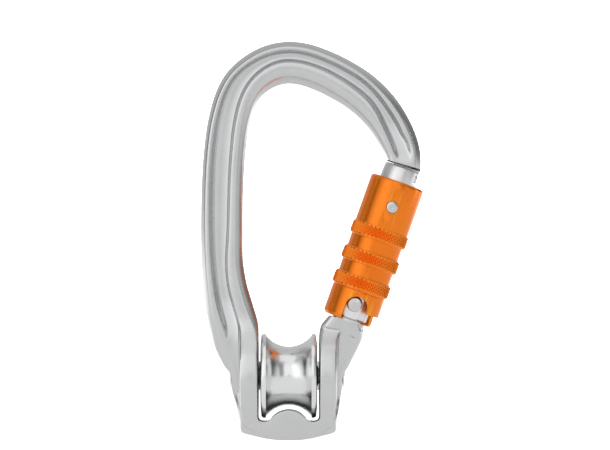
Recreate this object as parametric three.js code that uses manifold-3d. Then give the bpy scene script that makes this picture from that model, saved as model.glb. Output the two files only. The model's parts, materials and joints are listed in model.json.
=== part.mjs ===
// Pulley carabiner: a forged frame whose foot is a fork round a sheave on sealed bearings,
// closed by a sprung gate with a lift-and-turn locking sleeve.
// Millimetres, +Z up. The origin is the seat of the bow, where the anchor sling bears.
import * as THREE from 'three';
import Module from 'manifold-3d';
import { mergeVertices } from 'three/addons/utils/BufferGeometryUtils.js';

const wasm = await Module();
wasm.setup();

// Frame
const plateHalf = 5.9;          // half depth of the bow and spine
const edgeRound = 1.7;          // chamfer round the bow and spine
const pocketDepth = 2.6;        // hollow in each face, which leaves the web
const footLift = 2.3;           // rise of the foot's arc from middle to corner
const lugRadius = 11.8;         // round lugs that carry the axle, seen from the side
const legWidth = 5.7;           // proud part of each leg
const footHalf = 7.6;           // half depth of the foot under the sheave

// Sheave and its axle
const axleDrop = 88.5;          // seat to axle
const seatDepth = axleDrop + 19.4;          // seat to the lowest point of the foot
const drawnDepth = 107.9;       // depth that the foot's points are drawn for
const footStart = 77;           // below the seat, where the foot begins
const rootRadius = 9;           // bottom of the rope groove
const flangeRadius = 12.95;
const grooveRadius = 8;         // section of the rope groove
const sheaveHalf = 8.55;        // half width of the sheave
const sideGap = 0.55;           // sheave to leg, each side
const flangeGap = 0.45;         // flange to the floor of the fork
const axleRadius = 2.5;
const axleRecess = 0.4;         // axle ends below the frame's outside

// Bearings, two of 5 x 10 x 4
const bearingOuter = 5;
const bearingWidth = 4;
const bearingInset = 0.2;       // bearing side below the sheave side
const pitchRadius = 3.75;
const ballRadius = 0.75;
const ballCount = 8;
const raceGap = 0.08;           // ball to race
const raceShoulder = 0.6;       // race shoulder from the pitch circle
const sealWidth = 0.3;
const washerHub = 3;            // stepped thrust washer between bearing and leg
const washerRadius = 4.4;
const washerFlange = 0.3;

// Gate
const hingeX = sheaveHalf + sideGap + 10.8;   // gate pivot
const hingeZ = -66.65;
const gateTilt = 19.6;          // degrees, top leaning outwards
const barrelRadius = 5.8;
const gateLength = 43.9;        // pivot to the top of the gate
const drawnGate = 43.9;         // gate length that the bow's points are drawn for
const earDrop = 4.5;            // pivot to the bottom of the ears
const shoulderDrop = 4.9;       // pivot to the shoulder of the frame
const tangHalf = 2.4;           // half thickness of the frame's tang
const tangTop = 4;
const tangReach = 2.6;          // half width of the tang's flat top
const earGap = 0.3;             // tang to ear, each side
const rivetRadius = 1.8;
const rivetHeadRadius = 2.4;
const rivetHeadHeight = 0.9;
const earFlat = 5.3;            // half distance over the flats under the rivet heads
const boreRadius = 1.7;         // hole for the plunger and its spring
const boreTop = 20;
const plungerLength = 6;
const noseNeckHalf = 1.9;       // neck of the nose
const noseHeadHalf = 3.2;       // head of the nose, wider than the neck
const hookInner = -3;           // faces of the nose across the gate
const hookOuter = 4.6;
const noseRise = 1.9;           // underside of the nose below the top of the gate, inner face
const noseReach = 3.4;          // the same at the outer face
const headBelow = 1.3;          // top of the nose's head below the top of the gate

// Sleeve
const sleeveBottom = -5.4;      // along the gate from its pivot
const sleeveTop = gateLength - 4.6;
const sleeveRadius = barrelRadius + 2.6;    // plain top
const skirtRadius = barrelRadius + 2.47;    // plain bottom
const waistRadius = barrelRadius + 2.3;     // between the grip rings
const ringRadius = barrelRadius + 3;
const ringStarts = [4.2, 12.1, 20.2];
const ringWidth = 3.7;
const sleeveBore = barrelRadius + 1.3;
const skirtBore = barrelRadius + 1.5;       // clears the rivet heads
const seatShelf = 9.4;          // underside of the inner lip that carries the spring seat
const shelfThickness = 1.3;
const springStop = gateLength - 16.3;       // underside of the retaining ring
const guidePinAt = gateLength - 12.6;
const guidePinRadius = 1.2;
const guidePinHead = 1.75;
const keyAngle = 6;             // degrees round from the front, pin and rivet notch
const notchHalf = 3.4;
const notchTop = 2.5;
const cutoutTop = -1.8;
const sleeveLift = 3;           // stroke that clears the shoulder with the gate open
const springWire = 0.35;

// Clearances
const runGap = 0.1;             // radial, between round pieces that turn or slide
const restGap = 0.3;            // end to end, between pieces that rest on each other

const roundSegments = 36;
const smallSegments = 24;

// ---- solids -------------------------------------------------------------------------------

// A closed three.js geometry as a solid with its faces pointing out.
function solid(geometry) {
  const bare = new THREE.BufferGeometry();
  const source = geometry.index ? geometry.toNonIndexed() : geometry;
  bare.setAttribute('position', source.getAttribute('position'));
  const merged = mergeVertices(bare, 1e-3);
  const places = merged.getAttribute('position').array;
  const corners = merged.index.array;
  const kept = [];
  let volume = 0;
  const a = new THREE.Vector3();
  const b = new THREE.Vector3();
  const c = new THREE.Vector3();
  for (let i = 0; i < corners.length; i += 3) {
    const [p, q, r] = [corners[i], corners[i + 1], corners[i + 2]];
    if (p === q || q === r || r === p) continue;
    a.fromArray(places, 3 * p);
    b.fromArray(places, 3 * q);
    c.fromArray(places, 3 * r);
    volume += a.dot(b.cross(c));
    kept.push(p, q, r);
  }
  if (volume < 0) kept.reverse();
  return new wasm.Manifold(new wasm.Mesh({
    numProp: 3, vertProperties: new Float32Array(places), triVerts: new Uint32Array(kept),
  }));
}

function join(...pieces) {
  return pieces.reduce((whole, piece) => whole.add(piece));
}

function cut(whole, ...tools) {
  return tools.reduce((rest, tool) => rest.subtract(tool), whole);
}

// A solid moved by a matrix.
function moved(piece, matrix) {
  return piece.transform(matrix.elements);
}

const gateFrame = new THREE.Matrix4()
  .makeRotationY(THREE.MathUtils.degToRad(gateTilt))
  .setPosition(hingeX, 0, hingeZ);

// Outline in (across, up), extruded in depth from y = -half to +half.
function plate(shape, half, chamfer = 0, steps = 4) {
  const geometry = new THREE.ExtrudeGeometry(shape, {
    depth: 2 * (half - chamfer), curveSegments: steps, bevelEnabled: chamfer > 0,
    bevelThickness: chamfer, bevelSize: chamfer, bevelOffset: -chamfer, bevelSegments: 2,
  });
  geometry.translate(0, 0, -(half - chamfer));
  geometry.rotateX(Math.PI / 2);
  return solid(geometry);
}

// Outline in (depth, up), extruded across from x = low to high.
function slab(shape, low, high, steps = 4) {
  const geometry = new THREE.ExtrudeGeometry(shape, {
    depth: high - low, curveSegments: steps, bevelEnabled: false,
  });
  geometry.rotateX(Math.PI / 2).rotateZ(Math.PI / 2).translate(low, 0, 0);
  return solid(geometry);
}

// Outline in (across, depth), extruded up from z = low to high.
function prism(shape, low, high, steps = 8) {
  const geometry = new THREE.ExtrudeGeometry(shape, {
    depth: high - low, curveSegments: steps, bevelEnabled: false,
  });
  geometry.translate(0, 0, low);
  return solid(geometry);
}

function box(lowX, highX, lowY, highY, lowZ, highZ) {
  const geometry = new THREE.BoxGeometry(highX - lowX, highY - lowY, highZ - lowZ);
  geometry.translate((lowX + highX) / 2, (lowY + highY) / 2, (lowZ + highZ) / 2);
  return solid(geometry);
}

// Profile of [radius, height] points turned about the Z axis.
function turned(profile, segments) {
  const points = profile.map(([radius, height]) => new THREE.Vector2(radius, height));
  return solid(new THREE.LatheGeometry(points, segments).rotateX(Math.PI / 2));
}

// Closed ring profile turned about the Z axis.
function ring(profile, segments) {
  return turned([...profile, profile[0]], segments);
}

function rod(radius, low, high, segments = smallSegments) {
  return turned([[0, low], [radius, low], [radius, high], [0, high]], segments);
}

function tube(inner, outer, low, high, segments = smallSegments) {
  return ring([[inner, low], [outer, low], [outer, high], [inner, high]], segments);
}

// From an upright piece to one that lies along X through the axle.
const axleFrame = new THREE.Matrix4()
  .makeRotationY(Math.PI / 2)
  .setPosition(0, 0, -axleDrop);

// From an upright piece to one that lies along Y.
const acrossFrame = new THREE.Matrix4().makeRotationX(Math.PI / 2);

// Round wire wound up the Z axis; the section has twice as many sides as arcs.
function coil(radius, wire, low, high, turns, arcs, steps) {
  class Helix extends THREE.Curve {
    getPoint(t, target = new THREE.Vector3()) {
      const angle = 2 * Math.PI * turns * t;
      return target.set(radius * Math.cos(angle), radius * Math.sin(angle), low + (high - low) * t);
    }
  }
  const section = new THREE.Shape().absarc(0, 0, wire, 0, 2 * Math.PI, false);
  return solid(new THREE.ExtrudeGeometry(section, {
    extrudePath: new Helix(), steps: Math.round(turns * steps), curveSegments: arcs,
  }));
}

// ---- frame --------------------------------------------------------------------------------

function points(list) {
  return list.map(([x, z]) => new THREE.Vector2(x, z));
}

// Points of the foot, stretched or squeezed so that it ends at its own depth.
function foot(list) {
  const grow = (seatDepth - footStart) / (drawnDepth - footStart);
  return list.map(([x, z]) => [x, z < -footStart ? -footStart + (z + footStart) * grow : z]);
}

// Points of the bow, moved on its gate side so that the nose stays above the gate.
function bow(list) {
  const lean = THREE.MathUtils.degToRad(gateTilt);
  return foot(list).map(([x, z]) => {
    const share = THREE.MathUtils.clamp(x / 30, 0, 1) * (gateLength - drawnGate);
    return [x + share * Math.sin(lean), z + share * Math.cos(lean)];
  });
}

// A point of the gate's own frame, across and along, in the frame's X and Z.
function fromGate(across, along) {
  const place = new THREE.Vector3(across, 0, along).applyMatrix4(gateFrame);
  return [place.x, place.z];
}

const [noseOuter, noseSide, noseInner] = bow([[39.9, -26.4], [39.9, -21], [29.7, -23.2]]);
const forkWall = sheaveHalf + sideGap;
const footCorner = [forkWall + 4.9, -seatDepth + footLift];

// Bow, spine and both legs as one open loop; the fork is cut afterwards.
function frameOutline() {
  const shape = new THREE.Shape();
  shape.moveTo(...noseOuter);
  shape.lineTo(...noseSide);
  shape.splineThru(points(bow([
    [37.5, -12.75], [32.6, -4.6], [25.3, 2.7], [15.6, 8.6], [6, 12.1], [-1.4, 12.8],
    [-10.6, 10.1], [-17.8, 4.7], [-21.5, -0.8], [-24.6, -11.7], [-26.3, -26], [-26.7, -44.5],
    [-26.4, -59], [-25, -70], [-22.2, -80.9], [-forkWall - 9.7, -86.6], [-forkWall - 8.1, -92.5],
    [-forkWall - 6.1, -101],
  ])));
  shape.lineTo(-footCorner[0], footCorner[1]);
  shape.quadraticCurveTo(0, -seatDepth - footLift, ...footCorner);
  const right = foot([
    [forkWall + 6.1, -97.5], [forkWall + 8.2, -87.6], [hingeX + 0.6, -80.9], [hingeX + 2.5, -76.5],
  ]);
  shape.lineTo(...right[0]);
  shape.splineThru(points(right.slice(1)));
  shape.lineTo(...fromGate(4.8, -shoulderDrop - 0.8));
  shape.lineTo(...fromGate(-6.5, -shoulderDrop - 1.6));
  shape.splineThru(points([[forkWall + 0.9, -72.2], [forkWall, -75.5]]));
  shape.lineTo(-forkWall, -75.5);
  shape.splineThru(points(bow([
    [-forkWall - 0.4, -71.5], [-11.5, -64.5], [-13.3, -57.5], [-13.9, -45], [-13.7, -29], [-12.7, -17.5],
    [-10.8, -8.5], [-7.4, -3], [-3.6, -0.7], [0, 0], [5.9, -1.1], [13.2, -4.5], [20.5, -9.6],
    [25.5, -15.3], [29.7, -23.2],
  ])));
  shape.closePath();
  return shape;
}

// Hollow that runs in each face from the spine round the bow towards the nose.
function pocketOutline() {
  const shape = new THREE.Shape();
  shape.moveTo(-19.4, -72.6);
  shape.splineThru(points(bow([
    [-21.8, -60], [-22.8, -48], [-22.7, -32], [-21.3, -13.4], [-17.7, -0.9], [-10.9, 5.9], [-2.8, 9.2],
    [3.2, 9.3], [14.8, 5.3], [26.5, -3.1], [35.4, -16],
  ])));
  shape.lineTo(...bow([[31.7, -18.6]])[0]);
  shape.splineThru(points(bow([
    [25, -7], [14.8, 1.4], [3.2, 6.5], [-2.8, 6.6], [-9.2, 3.8], [-14.8, -2], [-17.5, -13.6],
    [-18, -32], [-17.8, -56], [-16.9, -72.4],
  ])));
  shape.closePath();
  return shape;
}

// Half of the fork's side view, out to the lugs that carry the axle.
function forkSide() {
  const edge = [
    [plateHalf - 0.3, -70.5], [8.2, -77], [lugRadius - 0.8, -axleDrop + 5.4], [lugRadius, -axleDrop],
    [lugRadius - 0.8, -axleDrop - 5.4], [9.1, -axleDrop - 11], [footHalf, -axleDrop - 15.5],
    [footHalf - 1.2, -seatDepth - 1],
  ];
  const shape = new THREE.Shape();
  shape.moveTo(...edge[0]);
  shape.splineThru(points(edge.slice(1)));
  const other = edge.map(([depth, up]) => [-depth, up]).reverse();
  shape.lineTo(...other[0]);
  shape.splineThru(points(other.slice(1)));
  shape.closePath();
  return shape;
}

// Front view of the proud part of the fork.
function forkFront() {
  const legOuter = forkWall + legWidth;
  const shape = new THREE.Shape();
  shape.moveTo(-legOuter, -69);
  shape.lineTo(-legOuter, -seatDepth + 7.9);
  shape.lineTo(-footCorner[0] + 0.2, footCorner[1] + 0.1);
  shape.quadraticCurveTo(0, -seatDepth - footLift + 0.2, footCorner[0] - 0.2, footCorner[1] + 0.1);
  shape.lineTo(legOuter - 0.4, -seatDepth + 7.9);
  shape.lineTo(legOuter - 0.4, -75);
  shape.lineTo(-legOuter + 4, -75);
  shape.closePath();
  return shape;
}

// Slot that the sheave turns in, with a rise in its floor that follows the rope groove.
function forkSlot() {
    const floor = -axleDrop - flangeRadius - flangeGap;
  const fillet = 1.4;
  const riseHalf = 4.8;
  const riseTop = -axleDrop - rootRadius - 0.7;
  const shape = new THREE.Shape();
  shape.moveTo(-forkWall, -60);
  shape.lineTo(-forkWall, floor + fillet);
  shape.quadraticCurveTo(-forkWall, floor, -forkWall + fillet, floor);
  shape.lineTo(-riseHalf, floor);
  shape.bezierCurveTo(-riseHalf + 0.6, riseTop, riseHalf - 0.6, riseTop, riseHalf, floor);
  shape.lineTo(forkWall - fillet, floor);
  shape.quadraticCurveTo(forkWall, floor, forkWall, floor + fillet);
  shape.lineTo(forkWall, -60);
  shape.closePath();
  return shape;
}

// Half width of the frame's outside at the axle, left and right.
const axleLeft = -forkWall - 8.8 + axleRecess;
const axleRight = forkWall + 7.8 - axleRecess;

// Outline of the hook in the top of the gate, grown by a gap for the gate's own slot.
function hookOutline(top, gap = 0) {
  const slope = (noseReach - noseRise) / (hookOuter - hookInner);
  const outer = hookOuter + (gap > 0 ? barrelRadius : 0);
  const shape = new THREE.Shape();
  shape.moveTo(hookInner - gap, gateLength - noseRise - gap);
  shape.lineTo(outer, gateLength - noseReach - gap - slope * (outer - hookOuter));
  shape.lineTo(outer, top);
  shape.lineTo(hookInner - gap, top);
  shape.closePath();
  return shape;
}

// Neck and head that hook into the top of the gate.
function nose() {
  const end = new THREE.Vector3(noseInner[0], 0, noseInner[1]).applyMatrix4(gateFrame.clone().invert());
  const neck = plate(hookOutline(Math.max(gateLength, end.z) + 3), noseNeckHalf);
  const head = plate(hookOutline(gateLength - headBelow), noseHeadHalf);
  return moved(join(neck, head), gateFrame);
}

// Shoulder boss and tang that the gate turns on.
function hinge() {
  const round = rod(6.6, -shoulderDrop - 3, -shoulderDrop, 32);
  const side = new THREE.Shape();
  side.moveTo(-8, -shoulderDrop - 4);
  side.lineTo(4.9, -shoulderDrop - 4);
  side.lineTo(4.9, -shoulderDrop);
  side.lineTo(-1.5, -shoulderDrop);
  side.lineTo(-8, -shoulderDrop - 1.4);
  side.closePath();
  const boss = round.intersect(plate(side, plateHalf - 0.6));
  const knuckle = moved(rod(tangTop, -tangHalf, tangHalf), acrossFrame);
  const tang = box(-tangReach, tangReach, -tangHalf, tangHalf, -shoulderDrop - 1, tangTop);
  return moved(join(boss, knuckle, tang), gateFrame);
}

function frameSolid() {
  const body = plate(frameOutline(), plateHalf, edgeRound, 3);
  const legs = slab(forkSide(), -20, 20, 3).intersect(plate(forkFront(), 20));
  const pocket = plate(pocketOutline(), plateHalf, 0, 3);
  const lift = plateHalf + plateHalf - pocketDepth;
  const front = pocket.translate([0, -lift, 0]);
  const back = pocket.translate([0, lift, 0]);
  const slot = plate(forkSlot(), 20);
  const gateRoom = moved(rod(barrelRadius + 0.6, 10, gateLength + 0.4), gateFrame);
  const axleHole = moved(rod(axleRadius + runGap, -30, 30, 32), axleFrame);
  const rivetHole = moved(moved(rod(rivetRadius + runGap, -20, 20), acrossFrame), gateFrame);
  return cut(join(cut(join(body, legs), front, back, slot, gateRoom), nose(), hinge()), axleHole, rivetHole);
}

// ---- sheave, axle and bearings ------------------------------------------------------------

function sheaveSolid() {
  const seat = bearingOuter + runGap;
  const seatEnd = sheaveHalf - bearingInset - bearingWidth;
  const shoulder = pitchRadius + raceShoulder;
  const centre = rootRadius + grooveRadius;
  const tipHalf = Math.sqrt(grooveRadius ** 2 - (centre - flangeRadius) ** 2);
  const spread = Math.asin(tipHalf / grooveRadius);
  const round = 0.6;
  const steps = 10;
  const profile = [
    [shoulder, -seatEnd], [seat, -seatEnd], [seat, -sheaveHalf], [flangeRadius - round, -sheaveHalf],
    [flangeRadius, -sheaveHalf + round],
  ];
  for (let i = 0; i <= steps; i += 1) {
    const angle = spread * (2 * i / steps - 1);
    profile.push([centre - grooveRadius * Math.cos(angle), grooveRadius * Math.sin(angle)]);
  }
  profile.push(
    [flangeRadius, sheaveHalf - round], [flangeRadius - round, sheaveHalf], [seat, sheaveHalf],
    [seat, seatEnd], [shoulder, seatEnd],
  );
  return ring(profile, roundSegments);
}

// Middle of a bearing along the axle; side is -1 or 1.
const bearingMiddle = sheaveHalf - bearingInset - bearingWidth / 2;

function outerRing() {
  const race = pitchRadius + ballRadius + raceGap;
  const shoulder = pitchRadius + raceShoulder;
  const half = bearingWidth / 2;
  return ring([
    [bearingOuter, -half], [bearingOuter, half], [shoulder, half], [shoulder, ballRadius],
    [race, ballRadius / 3], [race, -ballRadius / 3], [shoulder, -ballRadius], [shoulder, -half],
  ], smallSegments);
}

function innerRing() {
  const race = pitchRadius - ballRadius - raceGap;
  const shoulder = pitchRadius - raceShoulder;
  const half = bearingWidth / 2;
  return ring([
    [axleRadius + runGap, -half], [shoulder, -half], [shoulder, -ballRadius], [race, -ballRadius / 3],
    [race, ballRadius / 3], [shoulder, ballRadius], [shoulder, half], [axleRadius + runGap, half],
  ], smallSegments);
}

// Crown cage: a ring beside the balls with a finger between each pair.
function cage(side) {
  const backLow = ballRadius + 0.15;
  const backHigh = backLow + 0.35;
  const crown = tube(pitchRadius - 0.3, pitchRadius + 0.3, backLow, backHigh);
  const fingers = [];
  for (let i = 0; i < ballCount; i += 1) {
    const turn = new THREE.Matrix4().makeRotationZ((i + 0.5) * 2 * Math.PI / ballCount);
    const finger = box(pitchRadius - 0.25, pitchRadius + 0.25, -0.35, 0.35, -0.5, backLow + 0.1);
    fingers.push(moved(finger, turn));
  }
  const whole = join(crown, ...fingers);
  return side > 0 ? whole.mirror([0, 0, 1]) : whole;
}

function seal() {
  const outer = pitchRadius + raceShoulder - 0.05;
  const inner = pitchRadius - raceShoulder + 0.07;
  return tube(inner, outer, -sealWidth / 2, sealWidth / 2);
}

function ball(index) {
  const angle = index * 2 * Math.PI / ballCount;
  const geometry = new THREE.SphereGeometry(ballRadius, 8, 6);
  geometry.translate(pitchRadius * Math.cos(angle), pitchRadius * Math.sin(angle), 0);
  return solid(geometry);
}

// ---- gate ---------------------------------------------------------------------------------

const trackRadius = 4.5;
const retainerGroove = 5.2;

function gateSolid() {
  const trackLow = guidePinAt - guidePinRadius - 0.4;
  const trackHigh = guidePinAt + guidePinRadius + sleeveLift + 0.5;
  const outside = turned([
    [0, -earDrop], [barrelRadius, -earDrop], [barrelRadius, springStop - restGap],
    [retainerGroove, springStop - restGap], [retainerGroove, springStop + 1 + restGap],
    [barrelRadius, springStop + 1 + restGap], [barrelRadius, trackLow], [trackRadius, trackLow],
    [trackRadius, trackHigh], [barrelRadius, trackHigh], [barrelRadius, gateLength - 0.4],
    [barrelRadius - 0.4, gateLength], [0, gateLength],
  ], roundSegments);
  const slotTop = tangTop + 1.5;
  const earSlot = box(-9, 9, -tangHalf - earGap, tangHalf + earGap, -earDrop - 1, slotTop);
  const spotFace = rivetHeadRadius + 0.5;
  const flats = [-1, 1].map((side) => {
    const face = moved(rod(spotFace, 0, 4), acrossFrame);
    const drop = box(-spotFace, spotFace, -4, 0, -earDrop - 1, 0);
    return join(face, drop).translate([0, side > 0 ? earFlat + 4 : -earFlat, 0]);
  });
  const corner = cut(
    box(-9, 0.01, -9, 9, -earDrop - 1, -2.6),
    moved(rod(shoulderDrop - 0.25, -10, 10, 32), acrossFrame),
  );
  const spot = moved(rod(rivetRadius + runGap, -10, 10), acrossFrame);
  const bore = rod(boreRadius, slotTop - 1, boreTop, 16);
  const neckSlot = plate(hookOutline(gateLength + 1, 0.5), noseNeckHalf + 0.3);
  const headSlot = plate(hookOutline(gateLength - headBelow + 0.3, 0.5), noseHeadHalf + 0.3);
  return cut(outside, earSlot, ...flats, corner, spot, bore, neckSlot, headSlot);
}

function rivetSolid() {
  const under = earFlat + 0.12;
  const top = under + rivetHeadHeight;
  return moved(turned([
    [0, -top], [rivetHeadRadius - 0.4, -top], [rivetHeadRadius, -under - 0.3],
    [rivetHeadRadius, -under], [rivetRadius, -under], [rivetRadius, under], [rivetHeadRadius, under],
    [rivetHeadRadius, under + 0.3], [rivetHeadRadius - 0.4, top], [0, top],
  ], smallSegments), acrossFrame);
}

const plungerLow = tangTop + restGap;

function plungerSolid() {
  return turned([
    [0, plungerLow], [1, plungerLow], [boreRadius - 0.2, plungerLow + 0.6],
    [boreRadius - 0.2, plungerLow + plungerLength], [0, plungerLow + plungerLength],
  ], 16);
}

// ---- sleeve -------------------------------------------------------------------------------

// Radial cutter that leaves the gate's axis at an angle round from the front.
function atKey(piece, angle = keyAngle) {
  return moved(piece, new THREE.Matrix4().makeRotationZ(THREE.MathUtils.degToRad(angle)));
}

function sleeveSolid() {
  const outside = [[skirtRadius - 0.3, sleeveBottom], [skirtRadius, sleeveBottom + 0.3]];
  ringStarts.forEach((start, index) => {
    const below = index === 0 ? skirtRadius : waistRadius;
    const above = index === ringStarts.length - 1 ? sleeveRadius : waistRadius;
    outside.push([below, start], [ringRadius, start + 0.4], [ringRadius, start + ringWidth - 0.4]);
    outside.push([above, start + ringWidth]);
  });
  const lipRadius = barrelRadius + runGap + 0.05;
  const shelf = seatShelf + shelfThickness;
  const body = ring([
    ...outside, [sleeveRadius, sleeveTop - 0.4], [sleeveRadius - 0.4, sleeveTop],
    [lipRadius, sleeveTop], [lipRadius, sleeveTop - 1.1], [sleeveBore, sleeveTop - 1.1],
    [sleeveBore, shelf], [barrelRadius + 0.7, shelf], [barrelRadius + 0.7, seatShelf], [skirtBore, seatShelf],
    [skirtBore, sleeveBottom],
  ], roundSegments);
  const notch = new THREE.Shape();
  notch.moveTo(-notchHalf, sleeveBottom - 1);
  notch.lineTo(notchHalf, sleeveBottom - 1);
  notch.lineTo(notchHalf, notchTop - notchHalf);
  notch.absarc(0, notchTop - notchHalf, notchHalf, 0, Math.PI, false);
  notch.closePath();
  const through = plate(notch, 12, 0, 6);
  const low = THREE.MathUtils.degToRad(-90 + 31);
  const high = THREE.MathUtils.degToRad(-90 + 123);
  const wedge = new THREE.Shape();
  wedge.moveTo(0, 0);
  wedge.absarc(0, 0, 12, low, high, false);
  wedge.closePath();
  const cutout = prism(wedge, sleeveBottom - 1, cutoutTop, 8);
  const pinHole = moved(rod(guidePinRadius + runGap, 4, 12), acrossFrame);
  const headHole = moved(rod(guidePinHead + runGap, sleeveRadius - 0.9, 12), acrossFrame);
  const hole = join(pinHole, headHole).translate([0, 0, guidePinAt]);
  return cut(body, atKey(through), cutout, atKey(hole));
}

function guidePinSolid() {
  const headTop = sleeveRadius + 0.15;
  const headLow = sleeveRadius - 0.65;
  const pin = turned([
    [0, trackRadius + 0.3], [guidePinRadius, trackRadius + 0.3], [guidePinRadius, headLow],
    [guidePinHead, headLow], [guidePinHead, headTop - 0.25], [guidePinHead - 0.25, headTop],
    [0, headTop],
  ], smallSegments);
  return atKey(moved(pin, acrossFrame).translate([0, 0, guidePinAt]));
}

const seatLow = seatShelf + shelfThickness + restGap;
const seatHigh = seatLow + 1.4;

// ---- materials ----------------------------------------------------------------------------

function metal(color, roughness, metalness = 1) {
  return new THREE.MeshStandardMaterial({ color, roughness, metalness });
}

const materials = {
  body: metal(0xc6c8ca, 0.32),
  sheave: metal(0xd6d8da, 0.22),
  gate: metal(0xe2e3e4, 0.4),
  steel: metal(0xb8babd, 0.28),
  anodised: metal(0xe87a14, 0.3, 0.8),
  bearing: metal(0xaeb1b5, 0.2),
  seal: metal(0x111111, 0.6, 0),
  nylon: metal(0xe9e3d2, 0.6, 0),
  spring: metal(0x9fa3a8, 0.3),
  washer: metal(0x1a1a1a, 0.5, 0),
};

// ---- scene --------------------------------------------------------------------------------

const carabiner = new THREE.Group();
const sheaveGroup = new THREE.Group();
const gateGroup = new THREE.Group();
sheaveGroup.applyMatrix4(axleFrame);
gateGroup.applyMatrix4(gateFrame);
carabiner.add(sheaveGroup, gateGroup);

function add(group, name, piece, material) {
  const data = piece.getMesh();
  const geometry = new THREE.BufferGeometry();
  geometry.setAttribute('position', new THREE.BufferAttribute(new Float32Array(data.vertProperties), 3));
  geometry.setIndex(new THREE.BufferAttribute(new Uint32Array(data.triVerts), 1));
  geometry.computeVertexNormals();
  const mesh = new THREE.Mesh(geometry, material);
  mesh.name = name;
  group.add(mesh);
  return mesh;
}

add(carabiner, 'frame', frameSolid(), materials.body);

add(sheaveGroup, 'sheave', sheaveSolid(), materials.sheave);
add(sheaveGroup, 'sheave_axle', rod(axleRadius, axleLeft, axleRight), materials.steel);
const spacerEnd = bearingMiddle - bearingWidth / 2 - runGap;
const spacer = tube(axleRadius + runGap, pitchRadius - raceShoulder, -spacerEnd, spacerEnd);
add(sheaveGroup, 'bearing_spacer', spacer, materials.steel);

[['left', -1], ['right', 1]].forEach(([name, side]) => {
  const middle = side * bearingMiddle;
  const washerLow = bearingMiddle + bearingWidth / 2 + runGap;
  const washerHigh = sheaveHalf + sideGap - runGap;
  const washer = ring([
    [axleRadius + runGap, washerLow], [washerHub, washerLow], [washerHub, washerHigh - washerFlange],
    [washerRadius, washerHigh - washerFlange], [washerRadius, washerHigh],
    [axleRadius + runGap, washerHigh],
  ], smallSegments).rotate([side > 0 ? 0 : 180, 0, 0]);
  add(sheaveGroup, `thrust_washer_${name}`, washer, materials.washer);
  const place = (label, piece, material, offset = 0) => {
    add(sheaveGroup, `${name}_bearing_${label}`, piece, material).position.z = middle + offset;
  };
  const sealAt = side * (bearingWidth / 2 - sealWidth);
  place('outer_ring', outerRing(), materials.bearing);
  place('inner_ring', innerRing(), materials.bearing);
  place('cage', cage(side), materials.nylon);
  place('outer_seal', seal(), materials.seal, sealAt);
  place('inner_seal', seal(), materials.seal, -sealAt);
  for (let i = 0; i < ballCount; i += 1) {
    place(`ball_${i + 1}`, ball(i), materials.bearing);
  }
});

add(gateGroup, 'gate', gateSolid(), materials.gate);
add(gateGroup, 'gate_rivet', rivetSolid(), materials.steel);
add(gateGroup, 'gate_plunger', plungerSolid(), materials.steel);
const gateSpringLow = plungerLow + plungerLength + 0.55;
const gateSpring = coil(boreRadius - 0.55, 0.25, gateSpringLow, boreTop - 0.4, 9, 3, 8);
add(gateGroup, 'gate_spring', gateSpring, materials.spring);

add(gateGroup, 'sleeve', sleeveSolid(), materials.anodised);
add(gateGroup, 'sleeve_guide_pin', guidePinSolid(), materials.steel);
const seatRing = tube(barrelRadius + runGap, sleeveBore - runGap, seatLow, seatHigh, roundSegments);
add(gateGroup, 'spring_seat', seatRing, materials.nylon);
const springLow = seatHigh + springWire + restGap;
const springHigh = springStop - springWire - restGap;
const springRadius = (barrelRadius + sleeveBore) / 2;
const lockSpring = coil(springRadius, springWire, springLow, springHigh, 8, 3, 12);
add(gateGroup, 'sleeve_spring', lockSpring, materials.spring);
const retainer = tube(
  retainerGroove + runGap, sleeveBore - 2 * runGap, springStop, springStop + 1, roundSegments,
);
add(gateGroup, 'retaining_ring', retainer, materials.steel);

export default carabiner;
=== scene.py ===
import json
import math

import bmesh
import bpy
from mathutils import Matrix, Vector


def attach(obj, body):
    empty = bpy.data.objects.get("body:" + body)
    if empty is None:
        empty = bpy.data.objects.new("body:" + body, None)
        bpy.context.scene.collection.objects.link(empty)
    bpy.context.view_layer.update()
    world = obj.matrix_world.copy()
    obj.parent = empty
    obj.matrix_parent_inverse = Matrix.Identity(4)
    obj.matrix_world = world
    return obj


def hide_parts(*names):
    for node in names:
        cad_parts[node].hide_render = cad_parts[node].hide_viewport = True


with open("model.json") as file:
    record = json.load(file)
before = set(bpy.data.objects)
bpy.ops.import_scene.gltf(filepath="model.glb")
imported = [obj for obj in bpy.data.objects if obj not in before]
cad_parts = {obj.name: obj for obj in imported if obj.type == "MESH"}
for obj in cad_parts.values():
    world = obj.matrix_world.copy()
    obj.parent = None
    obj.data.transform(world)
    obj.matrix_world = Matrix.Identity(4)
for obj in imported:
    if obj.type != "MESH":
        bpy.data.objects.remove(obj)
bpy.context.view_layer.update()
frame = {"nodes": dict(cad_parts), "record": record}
mm = 0.001

# Places shared by several pieces, in millimetres in the part's own frame.
layout = {
    "axleDrop": 88.5,
    "hingeX": 19.9,
    "hingeZ": -66.65,
    "gateTilt": 19.6,
    "keyAngle": 6,
}

gateMatrix = Matrix.Translation((layout["hingeX"], 0, layout["hingeZ"])) @ Matrix.Rotation(
    math.radians(layout["gateTilt"]), 4, "Y"
)
axleMatrix = Matrix.Translation((0, 0, -layout["axleDrop"])) @ Matrix.Rotation(math.pi / 2, 4, "Y")
acrossMatrix = Matrix.Rotation(math.pi / 2, 4, "X")
keyMatrix = Matrix.Rotation(math.radians(layout["keyAngle"]), 4, "Z")




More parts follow.
